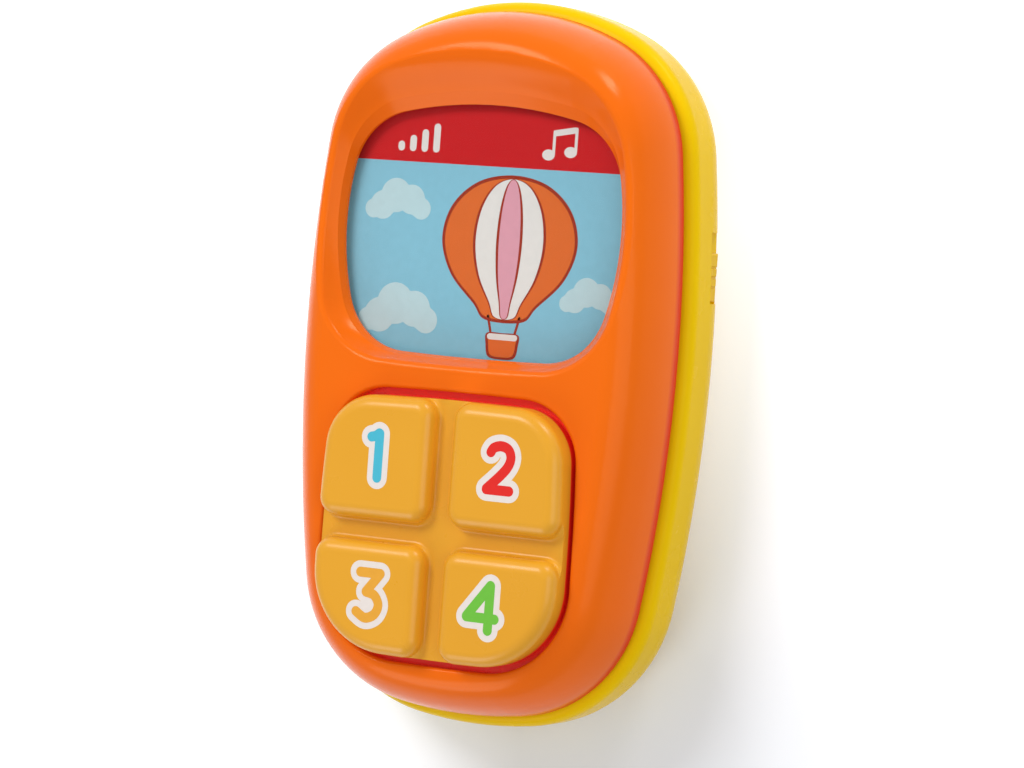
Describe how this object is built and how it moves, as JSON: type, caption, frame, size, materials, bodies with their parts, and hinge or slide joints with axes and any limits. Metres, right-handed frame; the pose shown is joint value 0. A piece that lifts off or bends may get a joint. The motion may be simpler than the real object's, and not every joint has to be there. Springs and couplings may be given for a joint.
{
  "type": "toy cell phone",
  "caption": "Chunky baby's play phone: rounded bezel round a recessed picture window, a press-in plate with four raised number keys, and a rear shell with a screwed battery cover.",
  "frame": {"origin": "middle of the phone, on the plane that its back rests on", "axes": "+Z out of the screen and keys, +Y towards the top of the phone, +X to the right as seen from the front"},
  "size_m": [0.0704, 0.12, 0.0323],
  "materials": {
    "orange_plastic": "glossy injection-moulded orange",
    "yellow_plastic": "glossy injection-moulded yellow",
    "cover_plastic": "glossy injection-moulded yellow",
    "knob_plastic": "glossy injection-moulded yellow",
    "amber_plastic": "satin amber",
    "clear_plastic": "clear polystyrene window",
    "printed_card": "printed card",
    "white_plastic": "plain white",
    "silicone_rubber": "translucent silicone",
    "circuit_laminate": "green solder mask",
    "black_resin": "black epoxy",
    "capacitor_sleeve": "dark sleeve",
    "switch_can": "tinned steel",
    "speaker_steel": "plated steel basket",
    "ferrite": "dark ferrite",
    "speaker_paper": "black paper cone",
    "zinc_steel": "zinc-plated steel",
    "nut_brass": "brass",
    "cell_jacket": "plain metallic jacket",
    "nickel_steel": "nickel-plated spring steel",
    "red_wire": "red PVC insulation",
    "black_wire": "black PVC insulation",
    "blue_wire": "blue PVC insulation"
  },
  "bodies": {
    "housing": {"front_bezel": "orange_plastic", "rear_shell": "yellow_plastic", "window_lens": "clear_plastic", "picture_card": "printed_card", "picture_retainer": "white_plastic", "key_membrane": "silicone_rubber", "circuit_board": "circuit_laminate", "chip_blob": "black_resin", "capacitor": "capacitor_sleeve", "slide_switch": "switch_can", "speaker_frame": "speaker_steel", "speaker_magnet": "ferrite", "speaker_cone": "speaker_paper", "battery_cover_nut": "nut_brass", "battery_cell_left": "cell_jacket", "battery_cell_right": "cell_jacket", "battery_springs": "nickel_steel", "bridge_contact": "nickel_steel", "negative_terminal": "nickel_steel", "positive_terminal": "nickel_steel", "battery_leads": "red_wire", "speaker_leads": "black_wire", "switch_leads": "blue_wire", "housing_screws": "zinc_steel", "board_screws": "zinc_steel", "retainer_screws": "zinc_steel", "speaker_screws": "zinc_steel"},
    "keypad": {"keypad_plate": "amber_plastic"},
    "power_knob": {"switch_knob": "knob_plastic"},
    "cover": {"battery_cover": "cover_plastic"},
    "cover_screw": {"battery_cover_screw": "zinc_steel"}
  },
  "joints": [
    {"name": "keypad_press", "type": "slide", "parent": "housing", "child": "keypad", "axis": [0, 0, -1], "range_m": [0, 0.0015], "stiffness_N_per_m": 800, "springref_m": -0.0006, "deforming": ["key_membrane"]},
    {"name": "power_switch_slide", "type": "slide", "parent": "housing", "child": "power_knob", "axis": [0, 1, 0], "range_m": [0, 0.003]},
    {"name": "battery_cover_tilt", "type": "hinge", "parent": "housing", "child": "cover", "pos_m": [0, 0.0132, 0], "axis": [1, 0, 0], "range_deg": [0, 50]},
    {"name": "battery_screw_withdraw", "type": "slide", "parent": "cover", "child": "cover_screw", "axis": [0, 0, -1], "range_m": [0, 0.004]}
  ]
}
